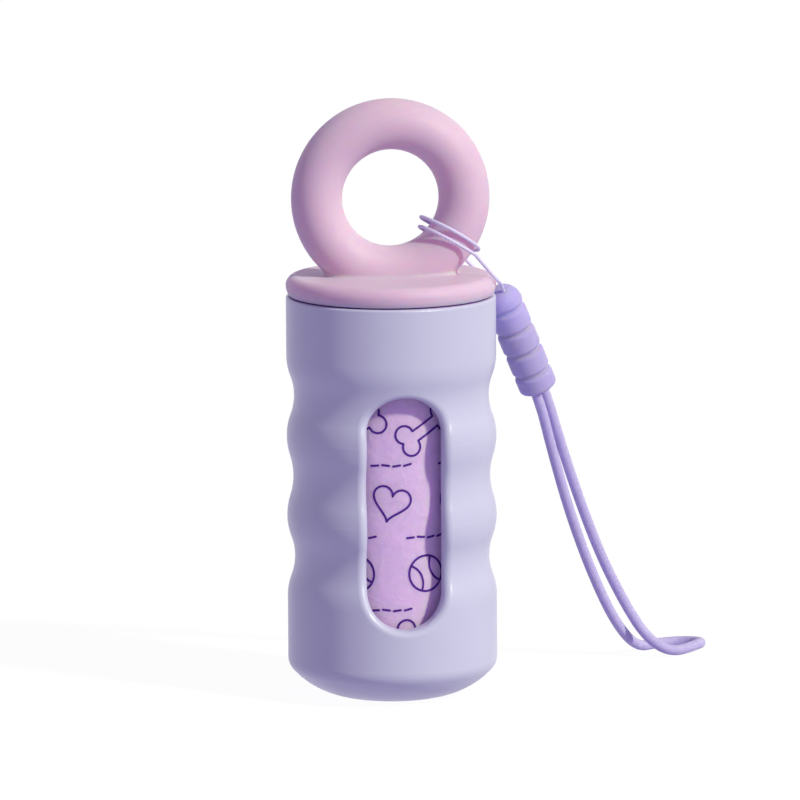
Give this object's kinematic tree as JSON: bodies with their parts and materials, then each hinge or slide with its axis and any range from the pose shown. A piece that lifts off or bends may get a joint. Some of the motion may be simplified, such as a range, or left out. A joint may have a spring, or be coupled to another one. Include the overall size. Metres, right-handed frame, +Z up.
{
  "type": "bag dispenser",
  "caption": "Round wavy-sided dispenser for a roll of pet waste bags, with a pull-out window, a screw lid with a carrying ring, and a string-hitched wrist lanyard.",
  "frame": {"origin": "middle of the flat foot that the canister stands on", "axes": "+Z up along the canister's axis, window towards -Y, carrying ring in the XZ plane"},
  "size_m": [0.0901, 0.0626, 0.1204],
  "materials": {
    "canister_plastic": "satin moulded",
    "lid_plastic": "satin moulded",
    "seal_rubber": "matte",
    "core_card": "plain card",
    "bag_film": "wrinkled film",
    "string_fibre": "fine twisted string",
    "sleeve_plastic": "soft gloss",
    "crimp_metal": "plain",
    "cord_fibre": "braided cord"
  },
  "bodies": {
    "canister": {"canister_shell": "canister_plastic"},
    "seal": {"lid_seal": "seal_rubber"},
    "lid": {"lid_cap": "lid_plastic", "lid_plug": "lid_plastic", "string_hitch": "string_fibre"},
    "lanyard": {"string_legs": "string_fibre", "cord_sleeve": "sleeve_plastic", "string_knot": "string_fibre", "cord_crimp": "crimp_metal", "wrist_cord": "cord_fibre"},
    "roll": {"roll_core": "core_card", "bag_roll": "bag_film"}
  },
  "joints": [
    {"name": "lid_rise", "type": "slide", "parent": "canister", "child": "seal", "axis": [0, 0, 1], "range_m": [0, 0.006]},
    {"name": "lid_turn", "type": "hinge", "parent": "seal", "child": "lid", "pos_m": [0, 0, 0.0811], "axis": [0, 0, 1], "range_deg": [0, 540]},
    {"name": "lanyard_swing", "type": "hinge", "parent": "lid", "child": "lanyard", "pos_m": [0.01498, 0.00224, 0.08925], "axis": [0.2008, -0.9796, 0], "range_deg": [0, 80]},
    {"name": "roll_spin", "type": "hinge", "parent": "canister", "child": "roll", "pos_m": [0, 0, 0.0348], "axis": [0, 0, 1], "continuous": true}
  ],
  "couplings": [
    {"joint": "lid_rise", "follows": "lid_turn", "m_per_rad": 0.00063661}
  ]
}
